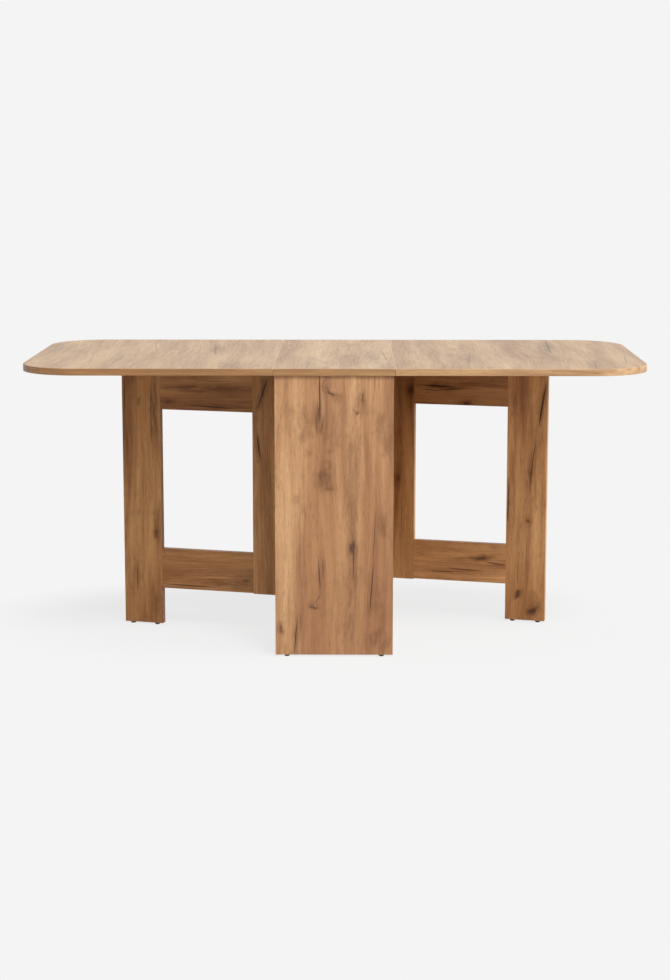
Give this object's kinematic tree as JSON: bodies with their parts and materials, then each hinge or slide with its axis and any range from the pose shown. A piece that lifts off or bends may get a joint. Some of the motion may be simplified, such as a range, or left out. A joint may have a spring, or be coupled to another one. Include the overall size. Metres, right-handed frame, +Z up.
{
  "type": "gateleg table",
  "caption": "Long drop-leaf table on two slab end panels, with a hinged leaf on each side held up by a swing-out open-frame gate leg.",
  "frame": {"origin": "on the floor under the middle of the centre top", "axes": "+X to the right along the table's length, +Y to the rear across its depth, +Z up"},
  "size_m": [1.643, 0.8, 0.76],
  "materials": {
    "oak_top": "satin laminate with an oak print",
    "oak_edge": "satin edge band with an oak print",
    "oak_panel": "satin laminate with an oak print",
    "oak_inner": "satin laminate with an oak print",
    "oak_gate": "satin laminate with an oak print",
    "stop_wood": "plain sanded block",
    "dowel_beech": "fluted beech, unfinished",
    "glide_plastic": "matt moulded",
    "pad_felt": "pressed felt",
    "screw_zinc": "zinc plated",
    "cam_zinc": "die-cast zinc",
    "hinge_steel": "zinc plated"
  },
  "bodies": {
    "frame": {"center_top": "oak_top", "center_top_edge_band": "oak_edge", "front_glides": "glide_plastic", "front_panel": "oak_panel", "left_gate_hinge_pins": "hinge_steel", "left_gate_hinge_post_plates": "hinge_steel", "left_gate_hinge_post_screws": "screw_zinc", "left_hinge_board": "oak_inner", "left_hinge_board_screws": "screw_zinc", "left_leaf_hinge_frame_plates": "hinge_steel", "left_leaf_hinge_frame_screws": "screw_zinc", "left_leaf_hinge_pins": "hinge_steel", "rear_glides": "glide_plastic", "rear_panel": "oak_panel", "right_gate_hinge_pins": "hinge_steel", "right_gate_hinge_post_plates": "hinge_steel", "right_gate_hinge_post_screws": "screw_zinc", "right_hinge_board": "oak_inner", "right_hinge_board_screws": "screw_zinc", "right_leaf_hinge_frame_plates": "hinge_steel", "right_leaf_hinge_frame_screws": "screw_zinc", "right_leaf_hinge_pins": "hinge_steel", "spine_cam_bolts": "cam_zinc", "spine_cam_discs": "cam_zinc", "spine_dowels": "dowel_beech", "spine_panel": "oak_inner", "top_bracket_screws": "screw_zinc", "top_brackets": "hinge_steel"},
    "left_leaf": {"left_gate_stop": "stop_wood", "left_gate_stop_screws": "screw_zinc", "left_leaf_board": "oak_top", "left_leaf_edge_band": "oak_edge", "left_leaf_hinge_plates": "hinge_steel", "left_leaf_hinge_screws": "screw_zinc", "left_rest_pad": "pad_felt"},
    "right_leaf": {"right_gate_stop": "stop_wood", "right_gate_stop_screws": "screw_zinc", "right_leaf_board": "oak_top", "right_leaf_edge_band": "oak_edge", "right_leaf_hinge_plates": "hinge_steel", "right_leaf_hinge_screws": "screw_zinc", "right_rest_pad": "pad_felt"},
    "left_gate": {"left_gate_bottom_rail": "oak_gate", "left_gate_dowels": "dowel_beech", "left_gate_glides": "glide_plastic", "left_gate_hinge_plates": "hinge_steel", "left_gate_hinge_screws": "screw_zinc", "left_gate_leg": "oak_gate", "left_gate_stile": "oak_gate", "left_gate_top_rail": "oak_gate"},
    "right_gate": {"right_gate_bottom_rail": "oak_gate", "right_gate_dowels": "dowel_beech", "right_gate_glides": "glide_plastic", "right_gate_hinge_plates": "hinge_steel", "right_gate_hinge_screws": "screw_zinc", "right_gate_leg": "oak_gate", "right_gate_stile": "oak_gate", "right_gate_top_rail": "oak_gate"}
  },
  "joints": [
    {"name": "left_gate_hinge", "type": "hinge", "parent": "frame", "child": "left_gate", "pos_m": [-0.1215, -0.118, 0.42], "axis": [0, 0, -1], "range_deg": [0, 75]},
    {"name": "right_gate_hinge", "type": "hinge", "parent": "frame", "child": "right_gate", "pos_m": [0.1215, 0.118, 0.42], "axis": [0, 0, -1], "range_deg": [0, 75]},
    {"name": "left_leaf_hinge", "type": "hinge", "parent": "frame", "child": "left_leaf", "pos_m": [-0.15725, 0, 0.739], "axis": [0, 1, 0], "range_deg": [0, 1.2]},
    {"name": "right_leaf_hinge", "type": "hinge", "parent": "frame", "child": "right_leaf", "pos_m": [0.15725, 0, 0.739], "axis": [0, -1, 0], "range_deg": [0, 1.2]}
  ]
}
